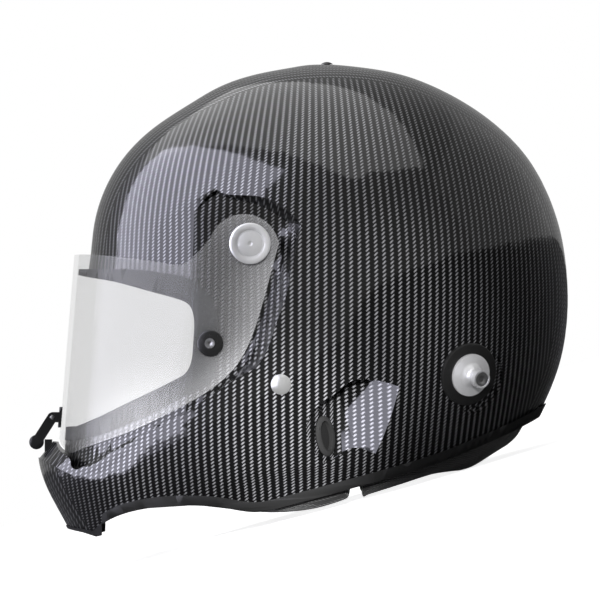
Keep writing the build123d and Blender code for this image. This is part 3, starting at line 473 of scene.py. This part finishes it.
def rays(tree):
    """Whether a ray is seen by the camera, straight or through the visor, and if it is glossy."""
    path = tree.nodes.new("ShaderNodeLightPath")
    seen = Wire(tree, path.outputs["Is Camera Ray"])
    seen = seen.math("MAXIMUM", Wire(tree, path.outputs["Is Transmission Ray"]))
    return seen, Wire(tree, path.outputs["Is Glossy Ray"])


bpy.ops.object.select_all(action="DESELECT")
bpy.ops.mesh.primitive_plane_add(size=FLOOR_SIZE, location=(0.0, 0.0, 0.0))
floor = bpy.context.active_object
floor.name = "studio_floor"
floor_finish = Finish("studio floor", Emission_Color=grey(1.0), Roughness=0.9)
floor.data.materials.append(floor_finish.material)
seen, glossy = rays(floor_finish.tree)
floor_finish.set("Emission Strength", seen * 0.85)
floor_finish.set("Base Color", floor_finish.blend(glossy, grey(0.85), grey(0.03)))

world = bpy.data.worlds.new("studio sky")
bpy.context.scene.world = world
world.use_nodes = True
background = world.node_tree.nodes["Background"]
background.inputs["Color"].default_value = grey(1.0)
seen, glossy = rays(world.node_tree)
strength = seen * 0.8 + glossy * 0.1 + 0.2
world.node_tree.links.new(strength.socket, background.inputs["Strength"])
print("floor and sky ready")

# %% [markdown]
# ## Wide lamps
#
# Wide lamps in front and above draw the broad soft reflections on the brow, the dome and
# the chin. The front softbox and the low card show in the gloss alone, and a small fill
# beside the softbox lights the front without a reflection, so the visor stays clear.

# %% Lamps in front, above and behind
LILAC = (0.84, 0.84, 1.0)


def hang(name, data, place, aim):
    """Hang a light at a place and turn it to face another."""
    obj = bpy.data.objects.new(name, data)
    bpy.context.scene.collection.objects.link(obj)
    obj.location = place
    obj.rotation_euler = (Vector(aim) - Vector(place)).to_track_quat("-Z", "Y").to_euler()
    return obj


def lamp(name, place, aim, width, height, power, color=(1.0, 1.0, 1.0)):
    """A flat soft lamp that faces a place."""
    data = bpy.data.lights.new(name, "AREA")
    data.color = color
    data.shape = "RECTANGLE"
    data.size = width
    data.size_y = height
    data.energy = power
    return hang(name, data, place, aim)


front = lamp("front softbox", (0.45, -1.3, 1.15), (0.0, -0.05, 0.15), 2.8, 2.6, 85.0, LILAC)
front.visible_diffuse = False
fill = lamp("front fill", (1.4, -1.6, 1.0), (0.0, -0.05, 0.15), 1.2, 1.2, 14.0)
fill.visible_glossy = False
low = lamp("low front card", (0.25, -0.8, 0.04), (0.1, -0.05, 0.25), 1.4, 0.7, 3.5, LILAC)
low.visible_camera = False
low.visible_diffuse = False
lamp("top softbox", (-0.1, 0.25, 1.7), (0.0, 0.1, 0.2), 3.4, 1.3, 13.0)
lamp("rear card", (-0.4, 2.0, 0.6), (0.0, 0.1, 0.15), 3.4, 2.0, 2.0)
print("wide lamps:", len(bpy.data.lights))

# %% [markdown]
# ## Lights on one part each
#
# The side towards the camera gets four narrow round lights, so the weave shines on the
# cheek, the chin, the flank and the dome while the rest stays dark.

# %% Narrow lights
SPOT_SOURCE = 0.02


def spot(name, place, aim, radius, power):
    """A soft round light on one part of the side, without a highlight of its own."""
    data = bpy.data.lights.new(name, "SPOT")
    data.energy = power
    data.shadow_soft_size = SPOT_SOURCE
    data.spot_size = 2.0 * math.atan(radius / (Vector(aim) - Vector(place)).length)
    data.spot_blend = 1.0
    hang(name, data, place, aim).visible_glossy = False


spot("side light", (3.2, 0.1, 0.7), standing(110, 70, -50), 0.095, 1100.0)
spot("cheek light", (3.2, 0.0, 0.5), standing(105, 22, -122), 0.07, 2600.0)
spot("chin light", (3.0, -0.9, 0.7), standing(80, -62, -134), 0.055, 1000.0)
spot("dome light", (2.6, 0.0, 1.5), standing(90, 10, 95), 0.1, 700.0)
print("all lights:", len(bpy.data.lights))

# %% [markdown]
# ## The camera
#
# A long lens looks straight at the left side from far off, so the outline is nearly flat.
# It is rolled by the helmet's tilt, which makes the picture level with the wearer's eyes.

# %% A long lens, rolled
DISTANCE = 6.0
FIELD = 0.384
SENSOR = 36.0
FAR_ENOUGH = 50.0

camera_data = bpy.data.cameras.new("long lens")
camera = bpy.data.objects.new("long lens", camera_data)
bpy.context.scene.collection.objects.link(camera)
bpy.context.scene.camera = camera
target = standing(0, 31.4, -35.5)
post = target + Vector((DISTANCE, 0.0, 0.0))
right = Vector((0.0, math.cos(TILT), -math.sin(TILT)))
upward = Vector((0.0, math.sin(TILT), math.cos(TILT)))
back = Vector((1.0, 0.0, 0.0))
camera.matrix_world = Matrix((
    (right.x, upward.x, back.x, post.x),
    (right.y, upward.y, back.y, post.y),
    (right.z, upward.z, back.z, post.z),
    (0.0, 0.0, 0.0, 1.0)))
camera_data.sensor_width = SENSOR
camera_data.lens = SENSOR * DISTANCE / FIELD
camera_data.clip_end = FAR_ENOUGH
print("camera at", tuple(round(value, 3) for value in post))

# %% [markdown]
# ## Finish
#
# The picture is shown without any film look.

# %% Close
bpy.context.scene.view_settings.view_transform = "Standard"
